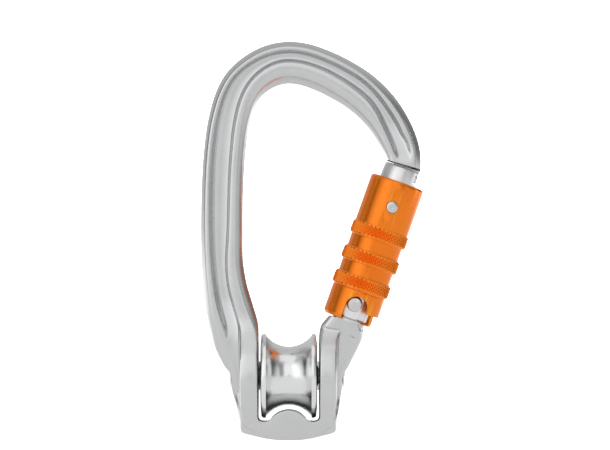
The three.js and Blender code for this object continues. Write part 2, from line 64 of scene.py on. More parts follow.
def finishMesh(bm, name, material, smoothAngle=35):
    bmesh.ops.remove_doubles(bm, verts=bm.verts, dist=1e-4)
    bmesh.ops.recalc_face_normals(bm, faces=bm.faces)
    bmesh.ops.scale(bm, vec=(mm, mm, mm), verts=bm.verts)
    mesh = bpy.data.meshes.new(name)
    bm.to_mesh(mesh)
    bm.free()
    piece = bpy.data.objects.new(name, mesh)
    bpy.context.collection.objects.link(piece)
    if material:
        mesh.materials.append(material)
    mesh.shade_smooth()
    mesh.set_sharp_from_angle(angle=math.radians(smoothAngle))
    return piece


def turnProfile(bm, profile, segments):
    # profile is (radius, height) points round a closed loop or from axis to axis, spun about Z
    verts = [bm.verts.new((radius, 0, height)) for radius, height in profile]
    pairs = list(zip(verts, verts[1:]))
    if profile[0][0] > 0 or profile[-1][0] > 0:
        pairs.append((verts[-1], verts[0]))
    edges = [bm.edges.new(pair) for pair in pairs]
    bmesh.ops.spin(
        bm, geom=verts + edges, cent=(0, 0, 0), axis=(0, 0, 1), dvec=(0, 0, 0),
        angle=2 * math.pi, steps=segments, use_merge=True, use_duplicate=False,
    )
    bmesh.ops.remove_doubles(bm, verts=bm.verts, dist=1e-4)
    return bm


def turned(profile, segments, matrix=None):
    bm = turnProfile(bmesh.new(), profile, segments)
    if matrix is not None:
        bmesh.ops.transform(bm, matrix=matrix, verts=bm.verts)
    return bm


def block(low, high, matrix=None, bevel=0.0, segments=2):
    bm = bmesh.new()
    bmesh.ops.create_cube(bm, size=1)
    size = [b - a for a, b in zip(low, high)]
    middle = [(a + b) / 2 for a, b in zip(low, high)]
    bmesh.ops.scale(bm, vec=size, verts=bm.verts)
    bmesh.ops.translate(bm, vec=middle, verts=bm.verts)
    if bevel:
        bmesh.ops.bevel(
            bm, geom=bm.edges[:], offset=bevel, offset_type="OFFSET", affect="EDGES",
            segments=segments, profile=0.5, material=-1,
        )
    if matrix is not None:
        bmesh.ops.transform(bm, matrix=matrix, verts=bm.verts)
    return bm


def addTo(bm, other):
    # moves the shells of one bmesh into another
    carrier = bpy.data.meshes.new("carrier")
    other.to_mesh(carrier)
    other.free()
    bm.from_mesh(carrier)
    bpy.data.meshes.remove(carrier)
    return bm


def fillet(points, radii, steps):
    # rounds the inner corners of an open line of (x, y) points
    out = [points[0]]
    for i in range(1, len(points) - 1):
        here = Vector(points[i])
        toPrev = Vector(points[i - 1]) - here
        toNext = Vector(points[i + 1]) - here
        radius = min(radii[i], 0.45 * toPrev.length, 0.45 * toNext.length)
        if radius < 1e-3:
            out.append(points[i])
            continue
        start = here + toPrev.normalized() * radius
        end = here + toNext.normalized() * radius
        for k in range(steps + 1):
            t = k / steps
            place = start * (1 - t) ** 2 + here * 2 * t * (1 - t) + end * t * t
            out.append((place.x, place.y))
    out.append(points[-1])
    return out


def carve(piece, cutter, operation="DIFFERENCE"):
    # applies one exact boolean and drops the cutter
    mod = piece.modifiers.new("carve", "BOOLEAN")
    mod.operation = operation
    mod.solver = "EXACT"
    mod.object = cutter
    applyAll(piece)
    bpy.data.objects.remove(cutter)


def applyAll(piece):
    bpy.context.view_layer.update()
    graph = bpy.context.evaluated_depsgraph_get()
    final = bpy.data.meshes.new_from_object(piece.evaluated_get(graph), depsgraph=graph)
    old = piece.data
    piece.modifiers.clear()
    piece.data = final
    bpy.data.meshes.remove(old)


def softEdges(piece, width, angle=40, segments=2):
    mod = piece.modifiers.new("softEdges", "BEVEL")
    mod.width = width * mm
    mod.segments = segments
    mod.limit_method = "ANGLE"
    mod.angle_limit = math.radians(angle)
    mod.use_clamp_overlap = True
    mod.harden_normals = False
    applyAll(piece)
    piece.data.shade_smooth()
    piece.data.set_sharp_from_angle(angle=math.radians(50))




def groupSockets(group, inputs, outputs):
    for name, kind, value in inputs:
        socket = group.interface.new_socket(name, in_out="INPUT", socket_type=kind)
        socket.default_value = value
    for name, kind in outputs:
        group.interface.new_socket(name, in_out="OUTPUT", socket_type=kind)


def makeTumbleGroup():
    # soft unevenness of tumbled metal, with a lighter edge colour on convex edges: rubbed wear, and on the orange
    # anodising a painted highlight
    group = bpy.data.node_groups.new("tumbledMetal", "ShaderNodeTree")
    groupSockets(
        group,
        [
            ("Color", "NodeSocketColor", (0.7, 0.7, 0.7, 1)),
            ("Edge Color", "NodeSocketColor", (0.8, 0.8, 0.8, 1)),
            ("Roughness", "NodeSocketFloat", 0.3),
            ("Mottle", "NodeSocketFloat", 0.06),
            ("Grain", "NodeSocketFloat", 900.0),
            ("Bump", "NodeSocketFloat", 0.1),
        ],
        [("Color", "NodeSocketColor"), ("Roughness", "NodeSocketFloat"), ("Normal", "NodeSocketVector")],
    )
    nodes, links = group.nodes, group.links
    source = nodes.new("NodeGroupInput")
    result = nodes.new("NodeGroupOutput")
    place = nodes.new("ShaderNodeTexCoord")
    coarse = nodes.new("ShaderNodeTexNoise")
    coarse.inputs["Scale"].default_value = 90
    coarse.inputs["Detail"].default_value = 5
    fine = nodes.new("ShaderNodeTexNoise")
    fine.inputs["Detail"].default_value = 3
    links.new(place.outputs["Object"], coarse.inputs["Vector"])
    links.new(place.outputs["Object"], fine.inputs["Vector"])
    links.new(source.outputs["Grain"], fine.inputs["Scale"])
    geometry = nodes.new("ShaderNodeNewGeometry")
    edge = nodes.new("ShaderNodeMapRange")
    edge.inputs["From Min"].default_value = 0.52
    edge.inputs["From Max"].default_value = 0.62
    links.new(geometry.outputs["Pointiness"], edge.inputs["Value"])
    # edge colour laid on convex edges: rubbed wear, and a painted highlight where it is the orange's lit tone
    wornAndSheen = nodes.new("ShaderNodeMix")
    wornAndSheen.data_type = "RGBA"
    links.new(edge.outputs["Result"], wornAndSheen.inputs["Factor"])
    links.new(source.outputs["Color"], wornAndSheen.inputs["A"])
    links.new(source.outputs["Edge Color"], wornAndSheen.inputs["B"])
    shade = nodes.new("ShaderNodeMapRange")
    shade.inputs["To Min"].default_value = 0.94
    shade.inputs["To Max"].default_value = 1.04
    links.new(coarse.outputs["Fac"], shade.inputs["Value"])
    tint = nodes.new("ShaderNodeMix")
    tint.data_type = "RGBA"
    tint.blend_type = "MULTIPLY"
    tint.inputs["Factor"].default_value = 1
    links.new(wornAndSheen.outputs["Result"], tint.inputs["A"])
    links.new(shade.outputs["Result"], tint.inputs["B"])
    links.new(tint.outputs["Result"], result.inputs["Color"])
    centred = nodes.new("ShaderNodeMath")
    centred.operation = "SUBTRACT"
    centred.inputs[1].default_value = 0.5
    links.new(coarse.outputs["Fac"], centred.inputs[0])
    rough = nodes.new("ShaderNodeMath")
    rough.operation = "MULTIPLY_ADD"
    links.new(centred.outputs["Value"], rough.inputs[0])
    links.new(source.outputs["Mottle"], rough.inputs[1])
    links.new(source.outputs["Roughness"], rough.inputs[2])
    links.new(rough.outputs["Value"], result.inputs["Roughness"])
    bump = nodes.new("ShaderNodeBump")
    bump.inputs["Distance"].default_value = 0.0001
    links.new(source.outputs["Bump"], bump.inputs["Strength"])
    links.new(fine.outputs["Fac"], bump.inputs["Height"])
    links.new(bump.outputs["Normal"], result.inputs["Normal"])
    return group


tumbleGroup = makeTumbleGroup()


def metalMaterial(name, color, edgeColor, roughness, mottle=0.06, grain=900, bump=0.1, metallic=1.0):
    material = bpy.data.materials.new(name)
    material.use_nodes = True
    nodes, links = material.node_tree.nodes, material.node_tree.links
    shader = nodes["Principled BSDF"]
    shader.inputs["Metallic"].default_value = metallic
    look = nodes.new("ShaderNodeGroup")
    look.node_tree = tumbleGroup
    look.inputs["Color"].default_value = (*color, 1)
    look.inputs["Edge Color"].default_value = (*edgeColor, 1)
    look.inputs["Roughness"].default_value = roughness
    look.inputs["Mottle"].default_value = mottle
    look.inputs["Grain"].default_value = grain
    look.inputs["Bump"].default_value = bump
    links.new(look.outputs["Color"], shader.inputs["Base Color"])
    links.new(look.outputs["Roughness"], shader.inputs["Roughness"])
    links.new(look.outputs["Normal"], shader.inputs["Normal"])
    return material


finishes = {
    "forgedAluminium": metalMaterial(
        "forgedAluminium", (0.66, 0.665, 0.67), (0.76, 0.765, 0.77), 0.27, mottle=0.1, bump=0.1
    ),
    "polishedAluminium": metalMaterial(
        "polishedAluminium", (0.84, 0.845, 0.85), (0.9, 0.9, 0.9), 0.2, mottle=0.05, bump=0.03
    ),
    "satinAluminium": metalMaterial(
        "satinAluminium", (0.82, 0.83, 0.83), (0.88, 0.88, 0.88), 0.38, mottle=0.08, bump=0.08
    ),
    "stainless": metalMaterial(
        "stainless", (0.68, 0.68, 0.67), (0.78, 0.78, 0.77), 0.24, mottle=0.1, bump=0.06
    ),
    # the lighter, yellower edge colour here is a painted highlight on convex edges
    "orangeAnodised": metalMaterial(
        "orangeAnodised", (1.0, 0.225, 0.008), (1.0, 0.38, 0.03), 0.2, mottle=0.05, bump=0.04, metallic=0.62
    ),
    "bearingSteel": metalMaterial(
        "bearingSteel", (0.6, 0.61, 0.63), (0.7, 0.7, 0.7), 0.14, mottle=0.04, bump=0.02
    ),
    "springSteel": metalMaterial(
        "springSteel", (0.5, 0.5, 0.51), (0.6, 0.6, 0.6), 0.3, mottle=0.08, bump=0.05
    ),
    "blackRubber": metalMaterial(
        "blackRubber", (0.012, 0.012, 0.012), (0.02, 0.02, 0.02), 0.55, bump=0.2, metallic=0.0
    ),
    "blackNylon": metalMaterial(
        "blackNylon", (0.015, 0.015, 0.015), (0.03, 0.03, 0.03), 0.35, bump=0.1, metallic=0.0
    ),
    "whiteNylon": metalMaterial(
        "whiteNylon", (0.75, 0.72, 0.64), (0.8, 0.78, 0.72), 0.5, bump=0.1, metallic=0.0
    ),
}



forging = {
    "depth": 5.9,          # half depth of spine and bow
    "pocketFloor": 3.3,    # half thickness of the web between the pockets
    "betweenStations": 5,
    "cornerSteps": 2,
}

# Outer and inner edge of the bar, from the nose over the bow, down the spine and round the fork
# to the gate's shoulder.
stations = [
    ((39.85, -26.7), (29.75, -23.35)), ((39.95, -21.5), (28.9, -21.2)), ((38.9, -16.5), (27.0, -17.9)),
    ((36.6, -11), (24.6, -14.1)), ((33.2, -5.4), (21.6, -10.7)), ((29, -0.5), (18.4, -7.9)),
    ((24.2, 3.6), (15, -5.6)), ((18.6, 7.05), (11.6, -3.75)), ((12.6, 9.95), (8.1, -2.05)),
    ((5.9, 12.2), (3.7, -0.5)), ((-1, 12.84), (-0.3, 0)), ((-7.9, 11.35), (-3.5, -0.7)),
    ((-14, 8), (-6.4, -2.25)), ((-18.9, 3.4), (-8.6, -4.35)), ((-22.2, -2.6), (-10.2, -7.1)),
    ((-24.3, -9.9), (-11.5, -11.2)), ((-25.4, -16.5), (-12.5, -16.2)), ((-26.2, -25), (-13.4, -25)),
    ((-26.6, -35), (-13.85, -35)), ((-26.7, -45), (-13.9, -45)), ((-26.5, -54), (-13.8, -53.5)),
    ((-26, -61.5), (-12.7, -60.5)), ((-25.2, -68.5), (-10.8, -67)), ((-23.9, -74.3), (-9.25, -72.8)),
    ((-22.4, -80), (-9.1, -78.5)), ((-20.2, -84.5), (-9.1, -83.5)), ((-18.2, -88.6), (-9.1, -88.5)),
    ((-17.2, -93), (-9.1, -93)), ((-15.7, -98.3), (-9.1, -98)), ((-15, -102.5), (-9.1, -100.2)),
    ((-14.55, -104.8), (-8.9, -101.2)), ((-13.9, -105.6), (-8.3, -101.75)),
    ((-12.6, -106.05), (-7.2, -101.9)), ((-10, -106.7), (-5.7, -101.5)), ((-7, -107.35), (-4.7, -100.3)),
    ((-3.6, -107.8), (-2.9, -99)), ((0, -107.9), (0, -98.35)), ((3.6, -107.8), (2.9, -99)),
    ((7, -107.3), (4.7, -100.3)), ((10, -106.6), (5.7, -101.5)), ((12.4, -106), (7.2, -101.9)),
    ((13.9, -105.4), (8.3, -101.75)), ((14.35, -104.5), (8.9, -101.2)), ((14.75, -101.5), (9.1, -100.2)),
    ((15.3, -97.5), (9.1, -97)), ((16.2, -92.2), (9.1, -92.5)), ((17.1, -88.4), (9.1, -88.5)),
    ((18.8, -84.3), (9.1, -84)), ((20.6, -80.8), (9.1, -80)), ((22.2, -77.4), (9.1, -76.3)),
    ((22.7, -75.4), (9.7, -73.2)), ((22.55, -74.4), (11, -71.3)), ((22.4, -73.2), (12.1, -70.1)),
]

# How the section changes along the bar: (station, value) pairs, in millimetres.
section = {
    "outerLand": [(0, 2.4), (9, 2.2), (20, 2.4), (26, 2.4), (30, 6), (36, 6.4), (42, 6), (46, 2.4), (52, 3)],
    "outerCrease": [(0, 1.6), (4, 1.8), (10, 1.8), (17, 1.15), (23, 1.5), (26, 1.4), (30, 0.5), (36, 0.5),
                    (42, 0.5), (46, 1.2), (49, 1.0), (52, 1.2)],
    "rimEnd": [(0, 2.6), (1.6, 2.8), (2.5, 3.5), (3.6, 3.5), (6, 2.8), (10, 2.6), (13, 2.4), (17, 2.5), (21, 3.3), (23, 4.2),
               (25, 3.2), (26, 2.4), (28, 0.75), (30, 0.8), (36, 0.9), (42, 0.8), (44, 0.8), (46, 1.7),
               (49, 2.2), (52, 3)],
    "outerWall": [(0, 1.1), (10, 1.0), (17, 1.1), (22, 1.0), (25, 0.5), (30, 0.2), (44, 0.2), (49, 1), (52, 1)],
    "innerWall": [(0, 0.9), (4, 1.0), (10, 1.0), (14, 0.8), (18, 0.6), (23, 0.5), (30, 0.2), (44, 0.3), (52, 1)],
    "rimStart": [(0, 3.0), (1, 3.1), (2, 3.6), (3, 4.1), (4, 5.2), (5, 5.9), (10, 6.3), (14, 4.6), (18, 4.05), (22, 5.6), (24, 5.6),
                 (28, 5.5), (31, 4.3), (36, 8), (41, 4.3), (44, 5.3), (48, 5.3), (50, 6), (52, 6)],
    "innerCrease": [(0, 1.6), (2, 2), (4, 3), (10, 4.1), (14, 2.6), (18, 1.95), (22, 2.2), (24, 0.7), (30, 0.55),
                    (44, 0.55), (48, 0.7), (50, 1.6), (52, 1.4)],
    "innerBreak": [(0, 0.6), (4, 1.4), (10, 2.2), (14, 0.9), (18, 0.5), (24, 0.3), (52, 0.3)],
    "innerLand": [(0, 3), (10, 1.6), (18, 3.2), (22, 3.6), (24, 6), (46, 6), (49, 5), (52, 3.4)],
    "pocket": [(0, 0), (0.4, 0), (1.4, 0.45), (2.4, 0.9), (3.2, 1), (21.6, 1), (22.4, 0.7), (23.4, 0.12), (24, 0), (52, 0)],
    "facet": [(0, 0), (22, 0), (24, 0.6), (26, 1.6), (28, 2.4), (30, 0.4), (36, 0.3), (42, 0.4),
              (44, 2.4), (46, 1.6), (48, 1), (50, 0.5), (52, 0.4)],
    "base": [(0, 0), (27, 0), (29.5, 1), (42.5, 1), (44.5, 0), (52, 0)],
    "lug": [(0, 0), (21, 0), (24.5, 1), (48, 1), (50, 0), (52, 0)],
}

# Half depth of the fork's front face by height, round about the axle.
lugFace = [
    (-109, 6.6), (-107.9, 6.8), (-104, 7.7), (-99.5, 9.2), (-94, 11), (-91, 11.65), (-88.5, 11.8),
    (-86, 11.65), (-83, 11), (-77, 8.3), (-71, 6.1), (-66, 5.9),
]


def smoothRead(table, at):
    # reads a table of (place, value) pairs with a smooth curve through them
    if at <= table[0][0]:
        return table[0][1]
    if at >= table[-1][0]:
        return table[-1][1]
    i = next(k for k in range(len(table) - 1) if table[k + 1][0] >= at)
    (x0, y0), (x1, y1) = table[i], table[i + 1]
    t = (at - x0) / (x1 - x0)

    def slope(k):
        if k <= 0 or k >= len(table) - 1:
            return 0.0
        before = (table[k][1] - table[k - 1][1]) / (table[k][0] - table[k - 1][0])
        after = (table[k + 1][1] - table[k][1]) / (table[k + 1][0] - table[k][0])
        return 0.0 if before * after <= 0 else 2 * before * after / (before + after)

    width = x1 - x0
    m0, m1 = slope(i) * width, slope(i + 1) * width
    return (
        (2 * t**3 - 3 * t**2 + 1) * y0 + (t**3 - 2 * t**2 + t) * m0
        + (-2 * t**3 + 3 * t**2) * y1 + (t**3 - t**2) * m1
    )


def alongEdge(which, at):
    # Catmull-Rom point on the outer (0) or inner (1) edge
    last = len(stations) - 1
    i = min(int(at), last - 1)
    t = at - i
    p = [Vector(stations[max(0, min(last, i + k))][which]) for k in (-1, 0, 1, 2)]
    return 0.5 * (
        2 * p[1] + (p[2] - p[0]) * t + (2 * p[0] - 5 * p[1] + 4 * p[2] - p[3]) * t * t
        + (3 * p[1] - p[0] - 3 * p[2] + p[3]) * t**3
    )


def sectionLoop(at):
    # one closed section of the bar as points in the part's frame
    outer, inner = alongEdge(0, at), alongEdge(1, at)
    across = inner - outer
    width = across.length
    value = {key: smoothRead(table, at) for key, table in section.items()}
    depth = forging["depth"]

    def faceDepth(distance, lug):
        height = (outer + across * (distance / width)).y
        plain = depth - value["facet"]
        return plain + (smoothRead(lugFace, height) - plain) * lug * (1 if height < -66 else 0)

    rimEnd = value["rimEnd"]
    rimStart = width - min(value["rimStart"], width - rimEnd - 0.4)
    crease = width - value["innerCrease"]
    outerDepth = depth - value["facet"]
    footDepth = smoothRead(lugFace, max(outer.y, -106)) - 0.15
    outerDepth += (footDepth - outerDepth) * value["base"]
    floor = outerDepth + (forging["pocketFloor"] - outerDepth) * value["pocket"]
    rise = faceDepth(rimStart, value["lug"])
    if value["lug"] < 0.01:
        rise = depth
    top = faceDepth(crease, value["lug"]) if value["lug"] > 0.01 else depth
    points = [
        (0, 0), (0, min(value["outerLand"], outerDepth - 0.5)), (value["outerCrease"], outerDepth),
        (rimEnd, outerDepth),
        (rimEnd + min(value["outerWall"], 0.4 * (rimStart - rimEnd)), floor),
        (rimStart - min(value["innerWall"], 0.4 * (rimStart - rimEnd)), floor),
        (rimStart, rise), (crease, top),
        (width - value["innerBreak"], top - 0.55 * (value["innerCrease"] - value["innerBreak"]) - 0.12),
        (width, min(value["innerLand"], top - 1.4)), (width, 0),
    ]
    radii = [0, 1.2, 0.6, 0.45, 0.5, 0.4, 0.45, 0.5, 0.6, 0.9, 0]
    half = fillet(points, radii, forging["cornerSteps"])
    direction = across / width
    loop = []
    for distance, y in half:
        place = outer + direction * distance
        loop.append((place.x, -y, place.y))
    for distance, y in reversed(half[1:-1]):
        place = outer + direction * distance
        loop.append((place.x, y, place.y))
    return loop


def buildForging():
    bm = bmesh.new()
    steps = forging["betweenStations"]
    count = (len(stations) - 1) * steps
    first = sectionLoop(0)
    bmesh.ops.create_circle(bm, segments=len(first), radius=1)
    bm.verts.ensure_lookup_table()
    for vert, place in zip(bm.verts, first):
        vert.co = place
    startEdges = bm.edges[:]
    edges = startEdges
    for k in range(1, count + 1):
        grown = bmesh.ops.extrude_edge_only(bm, edges=edges)["geom"]
        newVerts = [item for item in grown if isinstance(item, bmesh.types.BMVert)]
        edges = [item for item in grown if isinstance(item, bmesh.types.BMEdge)]
        ring = orderRing(newVerts, edges)
        for vert, place in zip(ring, sectionLoop(k / steps)):
            vert.co = place
    for ends in (startEdges, edges):
        bmesh.ops.edgeloop_fill(bm, edges=ends)
    return bm


def orderRing(verts, edges):
    # extrusion keeps the order of its edges, so the ring is walked from its first edge
    links = {}
    for edge in edges:
        a, b = edge.verts
        links.setdefault(a, []).append(b)
        links.setdefault(b, []).append(a)
    start = edges[0].verts[0]
    other = edges[0].verts[1]
    ring = [start, other]
    while len(ring) < len(verts):
        here, before = ring[-1], ring[-2]
        ring.append(next(v for v in links[here] if v is not before))
    return ring


def turnedPiece(name, profile, segments, matrix, finish, smoothAngle=35):
    return finishMesh(turned(profile, segments, matrix), name, finishes[finish], smoothAngle)


def hingePieces():
    # shoulder under the gate, knuckle and flat-topped tang
    boss = turned([(0, -9.5), (6.3, -9.5), (6.6, -8), (6.6, -5.2), (6.3, -4.9), (0, -4.9)], 96)
    shoulder = finishMesh(boss, "shoulder", finishes["forgedAluminium"])
    slope = block((-14, -9, 0), (0, 9, 5))
    bmesh.ops.rotate(slope, cent=(0, 0, 0), matrix=Matrix.Rotation(math.radians(-12.2), 3, "Y"), verts=slope.verts)
    bmesh.ops.translate(slope, vec=(-1.5, 0, -4.9), verts=slope.verts)
    outside = block((4.9, -9, -12), (9, 9, 0))
    faces = [block((-9, 5.3, -12), (9, 9, 0)), block((-9, -9, -12), (9, -5.3, 0))]
    for cutter in (slope, outside, *faces):
        carve(shoulder, finishMesh(cutter, "shoulderCutter", None))
    softEdges(shoulder, 0.45, segments=3)
    tang = turned([(0, -2.4), (3.7, -2.4), (4, -2.1), (4, 2.1), (3.7, 2.4), (0, 2.4)], 48, acrossMatrix)
    addTo(tang, block((-2.6, -2.4, -7), (2.6, 2.4, 4), bevel=0.25))
    joined = bmesh.new()
    joined.from_mesh(shoulder.data)
    bmesh.ops.scale(joined, vec=(1 / mm, 1 / mm, 1 / mm), verts=joined.verts)
    bpy.data.objects.remove(shoulder)
    return joined, tang


def hook(half, top, gap=0.0, reach=4.6):
    # wedge that hooks into the top of the gate, or its slot when grown by a gap
    bm = block((-3 - gap, -half, 40.5 - gap), (8 if gap else reach, half, top), bevel=0 if gap else 0.2)
    for vert in bm.verts:
        if vert.co.z < 41.2:
            vert.co.z += 0.1974 * (4.6 - vert.co.x)
    return bm


def nosePieces():
    return hook(1.9, 47.5), hook(2.05, 44.7, reach=5.2), hook(3.2, 42.6, reach=5.2)


def axleBores():
    left = turned([(0, 9.5), (2.6, 9.5), (2.6, 17), (3.5, 17.3), (3.5, 24), (0, 24)], 48)
    bmesh.ops.rotate(left, cent=(0, 0, 0), matrix=Matrix.Rotation(math.pi, 3, "X"), verts=left.verts)
    right = turned([(0, 9.5), (2.6, 9.5), (2.6, 16), (3.5, 16.3), (3.5, 24), (0, 24)], 48)
    for bm in (left, right):
        bmesh.ops.transform(bm, matrix=axleMatrix, verts=bm.verts)
    return left, right


print("frame: forging")
forgingMesh = buildForging()
frameForging = finishMesh(forgingMesh, "frameForging", finishes["forgedAluminium"], 60)
for extra in (*hingePieces(), *nosePieces()):
    bmesh.ops.transform(extra, matrix=gateMatrix, verts=extra.verts)
    carve(frameForging, finishMesh(extra, "frameExtra", finishes["forgedAluminium"]), "UNION")
for hole in axleBores():
    carve(frameForging, finishMesh(hole, "axleBore", finishes["forgedAluminium"]))
frameForging.data.set_sharp_from_angle(angle=math.radians(50))
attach(frameForging, "frame")
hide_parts("frame")


print("sheave and axle")
sheaveSize = {"root": 9, "flange": 12.95, "groove": 8, "half": 8.55, "seat": 5.1, "lip": 4.35, "inset": 0.2}


def sheaveProfile(size):
    centre = size["root"] + size["groove"]
    tip = math.sqrt(size["groove"] ** 2 - (centre - size["flange"]) ** 2)
    spread = math.asin(tip / size["groove"])
    seatEnd = size["half"] - size["inset"] - 4
    side = [
        (size["lip"], seatEnd), (size["seat"], seatEnd), (size["seat"], size["half"] - 0.3),
        (size["seat"] + 0.3, size["half"]), (size["flange"] - 2.6, size["half"]),
        (size["flange"] - 2.4, size["half"] - 0.12), (size["flange"] - 0.75, size["half"] - 0.12),
        (size["flange"] - 0.35, size["half"] - 0.25), (size["flange"] - 0.08, size["half"] - 0.6),
        (size["flange"], size["half"] - 0.95),
    ]
    groove = []
    for i in range(33):
        angle = spread * (1 - i / 16)
        groove.append((centre - size["groove"] * math.cos(angle), size["groove"] * math.sin(angle)))
    return side + groove + [(r, -z) for r, z in reversed(side)]


sheaveWheel = turnedPiece("sheaveWheel", sheaveProfile(sheaveSize), 128, axleMatrix, "polishedAluminium", 30)
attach(sheaveWheel, "sheave")
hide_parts("sheave")

axlePin = turnedPiece(
    "axlePin",
    [(0, -17.75), (0.7, -17.7), (1.0, -17.95), (2.6, -17.85), (3.25, -17.55), (3.4, -17.35), (2.5, -16.9),
     (2.5, 15.9), (3.4, 16.35), (3.25, 16.6), (2.6, 16.9), (1.0, 17.0), (0.7, 16.75), (0, 16.8)],
    48, axleMatrix, "stainless", 40,
)
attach(axlePin, "frame")
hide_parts("sheave_axle")


print("gate")


def buildGate():
    barrel = turned(
        [(0, -4.5), (5.5, -4.5), (5.8, -4.2), (5.8, 27.3), (5.2, 27.3), (5.2, 28.9), (5.8, 28.9),
         (5.8, 29.7), (4.5, 29.7), (4.5, 35.9), (5.8, 35.9), (5.8, 38), (5.6, 43.2), (5.4, 43.7), (5.1, 43.9), (0, 43.9)],
        96,
    )
    gate = finishMesh(barrel, "gateBody", finishes["satinAluminium"], 40)
    cutters = [
        block((-9, -2.7, -7), (9, 2.7, 5.5)),
        hook(2.2, 46, 0.5),
        hook(3.5, 42.9, 0.5),
        turned([(0, -12), (1.9, -12), (1.9, 12), (0, 12)], 32, acrossMatrix),
        turned([(0, 4), (1.7, 4), (1.7, 20), (0, 20)], 24),
    ]
    for side in (-1, 1):
        face = turned([(0, 5.3), (2.9, 5.3), (2.9, 9), (0, 9)], 48, acrossMatrix)
        if side > 0:
            bmesh.ops.rotate(face, cent=(0, 0, 0), matrix=Matrix.Rotation(math.pi, 3, "Z"), verts=face.verts)
        cutters.append(face)
        low, high = sorted((side * 5.3, side * 9))
        cutters.append(block((-2.9, low, -7), (2.9, high, 0)))
    ear = block((-9, -9, -7), (0, 9, -2.6))
    earPiece = finishMesh(ear, "earCorner", None)
    carve(earPiece, finishMesh(turned([(0, -10), (4.65, -10), (4.65, 10), (0, 10)], 64, acrossMatrix), "round", None))
    carve(gate, earPiece)
    for cutter in cutters:
        carve(gate, finishMesh(cutter, "gateCutter", None))
    gate.data.transform(Matrix.Scale(1 / mm, 4))
    gate.data.transform(gateMatrix)
    gate.data.transform(Matrix.Scale(mm, 4))
    gate.data.materials.clear()
    gate.data.materials.append(finishes["satinAluminium"])
    softEdges(gate, 0.1)
    return gate


gateBody = buildGate()
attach(gateBody, "gate")
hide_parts("gate")


def buildRivet():
    head = [(1.7, 6.25), (2.1, 6.14), (2.32, 5.95), (2.4, 5.7), (2.4, 5.42), (1.8, 5.42)]
    profile = [(0, -6.28)] + [(r, -z) for r, z in head] + list(reversed(head)) + [(0, 6.28)]
    return turned(profile, 64, gateMatrix @ acrossMatrix)


gateRivet = finishMesh(buildRivet(), "gateRivet", finishes["stainless"], 50)
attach(gateRivet, "gate")
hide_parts("gate_rivet")


print("sleeve")
grip = {
    "starts": (4.2, 12.1, 20.2), "width": 4.3, "radius": 8.98, "diamonds": 42, "rows": 3,
    "relief": 0.42, "shoulder": 0.25,
}


def knurlBand(start):
    # flat lattice of diamonds, poked into pyramids and wrapped round the sleeve
    bm = bmesh.new()
    across, rows = grip["diamonds"], grip["rows"]
    cells = across + rows + 4
    bmesh.ops.create_grid(bm, x_segments=cells, y_segments=cells, size=cells * math.sqrt(0.5) / 2)
    bmesh.ops.rotate(bm, cent=(0, 0, 0), matrix=Matrix.Rotation(math.pi / 4, 3, "Z"), verts=bm.verts)
    for axis, reach in ((0, across / 2), (1, rows / 2)):
        for side in (-1, 1):
            place, normal = [0, 0, 0], [0, 0, 0]
            place[axis], normal[axis] = side * reach, side
            bmesh.ops.bisect_plane(
                bm, geom=bm.verts[:] + bm.edges[:] + bm.faces[:], dist=1e-4,
                plane_co=place, plane_no=normal, clear_outer=True,
            )
    whole = [face for face in bm.faces if len(face.verts) == 4]
    peaks = bmesh.ops.poke(bm, faces=whole)["verts"]
    bmesh.ops.translate(bm, vec=(0, 0, grip["relief"]), verts=peaks)
    flat = grip["radius"] - grip["relief"]
    tall = grip["width"] - 2 * grip["shoulder"]
    for vert in bm.verts:
        angle = 2 * math.pi * vert.co.x / across
        radius = flat + vert.co.z
        height = start + grip["width"] / 2 + vert.co.y / rows * tall
        vert.co = (radius * math.cos(angle), radius * math.sin(angle), height)
    bmesh.ops.remove_doubles(bm, verts=bm.verts, dist=1e-3)
    middle = start + grip["width"] / 2
    rims = [edge for edge in bm.edges if edge.is_boundary]
    for radius, reach in ((flat - 0.25, 0.5 * grip["width"]), (7.8, 0.5 * grip["width"])):
        grown = bmesh.ops.extrude_edge_only(bm, edges=rims)["geom"]
        rims = [item for item in grown if isinstance(item, bmesh.types.BMEdge)]
        for vert in {v for edge in rims for v in edge.verts}:
            side = 1 if vert.co.z > middle else -1
            out = Vector((vert.co.x, vert.co.y)).normalized() * radius
            vert.co = (out.x, out.y, middle + side * reach)
    bmesh.ops.bridge_loops(bm, edges=rims)
    return bm


def sleeveCutters():
    notch = turned([(0, -12), (3.4, -12), (3.4, 12), (0, 12)], 64, acrossMatrix)
    bmesh.ops.translate(notch, vec=(0, 0, -0.9), verts=notch.verts)
    slot = block((-3.4, -12, -8), (3.4, 12, -0.9))
    for bm in (notch, slot):
        bmesh.ops.transform(bm, matrix=keyMatrix, verts=bm.verts)
    pin = turned([(0, 4), (1.3, 4), (1.3, 7.6), (1.85, 7.6), (1.85, 12), (0, 12)], 48, acrossMatrix)
    bmesh.ops.transform(pin, matrix=keyMatrix @ Matrix.Translation((0, 0, 31.3)), verts=pin.verts)
    wedge = bmesh.new()
    low, high = math.radians(-59), math.radians(33)
    corners = [(0, 0)] + [
        (12 * math.cos(low + (high - low) * k / 12), 12 * math.sin(low + (high - low) * k / 12)) for k in range(13)
    ]
    face = wedge.faces.new([wedge.verts.new((x, y, -8)) for x, y in corners])
    top = bmesh.ops.extrude_face_region(wedge, geom=[face])["geom"]
    bmesh.ops.translate(
        wedge, vec=(0, 0, 6.2), verts=[item for item in top if isinstance(item, bmesh.types.BMVert)]
    )
    return notch, slot, pin, wedge


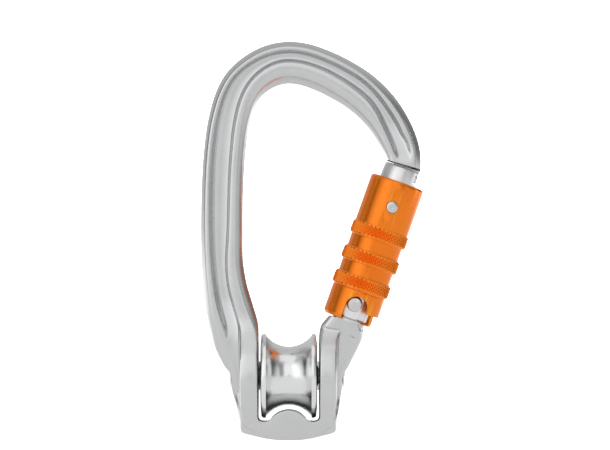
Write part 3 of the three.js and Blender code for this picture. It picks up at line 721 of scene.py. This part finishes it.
def buildSleeve():
    core = turned(
        [(7.4, -5.4), (7.8, -5.27), (8.1, -4.92), (8.27, -4.3), (8.27, 3.9), (8.1, 4.1), (8.1, 23.85), (8.4, 24.05),
         (8.4, 38.3), (8.32, 38.72), (8.08, 39.06), (7.7, 39.26), (7.3, 39.3), (5.95, 39.3), (5.95, 38.2), (7.1, 38.2),
         (7.1, 10.7), (6.5, 10.7), (6.5, 9.4), (7.3, 9.4), (7.3, -5.4)],
        128,
    )
    sleeve = finishMesh(core, "sleeveShell", None, 40)
    for cutter in sleeveCutters():
        carve(sleeve, finishMesh(cutter, "sleeveCutter", None))
    softEdges(sleeve, 0.14)
    bm = bmesh.new()
    bm.from_mesh(sleeve.data)
    bmesh.ops.scale(bm, vec=(1 / mm, 1 / mm, 1 / mm), verts=bm.verts)
    for start in grip["starts"]:
        addTo(bm, knurlBand(start))
    bmesh.ops.transform(bm, matrix=gateMatrix, verts=bm.verts)
    bpy.data.objects.remove(sleeve)
    return finishMesh(bm, "sleeveShell", finishes["orangeAnodised"], 30)


sleeveShell = buildSleeve()
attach(sleeveShell, "sleeve")
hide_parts("sleeve")

guidePin = turnedPiece(
    "guidePin",
    [(0, 4.8), (1.2, 4.8), (1.2, 7.75), (1.75, 7.75), (1.75, 8.35), (1.6, 8.52), (1.2, 8.6), (0.5, 8.62), (0, 8.5)],
    48, gateMatrix @ keyMatrix @ Matrix.Translation((0, 0, 31.3)) @ acrossMatrix, "stainless", 50,
)
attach(guidePin, "sleeve")
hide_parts("sleeve_guide_pin")

slotFinish = {
    "body": "forgedAluminium", "sheave": "polishedAluminium", "gate": "satinAluminium",
    "steel": "stainless", "anodised": "orangeAnodised", "bearing_steel": "bearingSteel",
    "spring_steel": "springSteel", "seal": "blackRubber", "nylon": "whiteNylon", "black_nylon": "blackNylon",
}
for entry in frame["record"]["subparts"]:
    node = frame["nodes"][entry["node"]]
    node.data.materials.clear()
    node.data.materials.append(finishes[slotFinish[entry["material_slot"]]])



studio = {
    "cameraDistance": 1.3,
    "viewX": 4.9 * mm,
    "viewZ": -42.8 * mm,
    "viewWidth": 185.1 * mm,
    "floorZ": -0.16,
    "floorNear": 0.25,     # glow of the floor by the object and far from it
    "floorFar": 1.0,
    "front": 1.0,         # room brightness before, beside and behind the object
    "side": 0.04,
    "top": 0.55,
    "right": 0.3,
    "behind": 0.6,
    "cameraDark": 0.35,
    "backdrop": 3.0,
    "boxes": (
        ("keyLight", (-0.5, -0.5, 0.16), (0.7, 0.8), 0.55),
        ("stripLight", (0.62, 0.12, 0.0), (0.12, 0.6), 0.3),
        ("topLight", (0.05, -0.25, 0.7), (0.9, 0.5), 0.5),
    ),
}


def softBox(name, place, size, power, target=(0, 0, -0.045)):
    data = bpy.data.lights.new(name, "AREA")
    data.shape = "RECTANGLE"
    data.size, data.size_y = size
    data.energy = power
    lamp = bpy.data.objects.new(name, data)
    bpy.context.collection.objects.link(lamp)
    lamp.location = place
    lamp.rotation_euler = (Vector(target) - Vector(place)).to_track_quat("-Z", "Y").to_euler()
    return lamp


def setStage():
    camera = bpy.data.cameras.new("camera")
    camera.sensor_width = 36
    camera.lens = 36 * studio["cameraDistance"] / studio["viewWidth"]
    eye = bpy.data.objects.new("camera", camera)
    bpy.context.collection.objects.link(eye)
    eye.location = (studio["viewX"], -studio["cameraDistance"], studio["viewZ"])
    eye.rotation_euler = (math.pi / 2, 0, 0)
    bpy.context.scene.camera = eye

    floor = bmesh.new()
    bmesh.ops.create_grid(floor, x_segments=1, y_segments=1, size=4000)
    bmesh.ops.translate(floor, vec=(0, 0, studio["floorZ"] / mm), verts=floor.verts)
    pale = bpy.data.materials.new("paleFloor")
    pale.use_nodes = True
    shader = pale.node_tree.nodes["Principled BSDF"]
    shader.inputs["Base Color"].default_value = (0.9, 0.9, 0.9, 1)
    shader.inputs["Roughness"].default_value = 0.9
    shader.inputs["Emission Color"].default_value = (1, 1, 1, 1)
    nodes, links = pale.node_tree.nodes, pale.node_tree.links
    place = nodes.new("ShaderNodeTexCoord")
    split = nodes.new("ShaderNodeSeparateXYZ")
    links.new(place.outputs["Object"], split.inputs["Vector"])
    far = nodes.new("ShaderNodeMapRange")
    far.interpolation_type = "SMOOTHSTEP"
    far.inputs["From Min"].default_value = 0.15
    far.inputs["From Max"].default_value = 0.7
    far.inputs["To Min"].default_value = studio["floorNear"]
    far.inputs["To Max"].default_value = studio["floorFar"]
    links.new(split.outputs["Y"], far.inputs["Value"])
    links.new(far.outputs["Result"], shader.inputs["Emission Strength"])
    finishMesh(floor, "floor", pale)
    setWorld()
    for name, place, size, power in studio["boxes"]:
        softBox(name, place, size, power)
    bpy.context.scene.view_settings.view_transform = "Standard"


def setWorld():
    # pale room in front, dim to the sides, bright backdrop, with a dark spot for the lens
    world = bpy.data.worlds.new("studioWorld")
    bpy.context.scene.world = world
    world.use_nodes = True
    nodes, links = world.node_tree.nodes, world.node_tree.links
    coord = nodes.new("ShaderNodeTexCoord")
    split = nodes.new("ShaderNodeSeparateXYZ")
    links.new(coord.outputs["Generated"], split.inputs["Vector"])

    def band(socket, low, high, fromValue, toValue):
        ramp = nodes.new("ShaderNodeMapRange")
        ramp.interpolation_type = "SMOOTHSTEP"
        ramp.inputs["From Min"].default_value = low
        ramp.inputs["From Max"].default_value = high
        ramp.inputs["To Min"].default_value = fromValue
        ramp.inputs["To Max"].default_value = toValue
        links.new(socket, ramp.inputs["Value"])
        return ramp.outputs["Result"]

    def both(operation, first, second):
        step = nodes.new("ShaderNodeMath")
        step.operation = operation
        links.new(first, step.inputs[0])
        links.new(second, step.inputs[1])
        return step.outputs["Value"]

    ahead = band(split.outputs["Y"], -0.8, -0.15, studio["front"], studio["side"])
    over = band(split.outputs["Z"], 0.35, 0.9, 0, studio["top"])
    past = band(split.outputs["X"], 0.3, 0.42, 1, studio["right"])
    beyond = band(split.outputs["X"], 0.58, 0.7, 0, 0.85)
    ahead = both("MULTIPLY", ahead, both("MAXIMUM", past, beyond))
    behind = band(split.outputs["Y"], 0.1, 0.7, 0, studio["behind"])
    outward = band(both("SUBTRACT", split.outputs["Z"], split.outputs["X"]), -0.5, 0.2, 0.3, 1)
    room = both("MAXIMUM", both("MAXIMUM", ahead, over), both("MULTIPLY", behind, outward))
    lens = band(split.outputs["Y"], -0.9985, -0.995, studio["cameraDark"], 1)
    room = both("MULTIPLY", room, lens)
    backdrop = band(split.outputs["Y"], 0.92, 0.98, 0, studio["backdrop"])
    room = both("MAXIMUM", room, backdrop)
    links.new(room, nodes["Background"].inputs["Color"])


setStage()
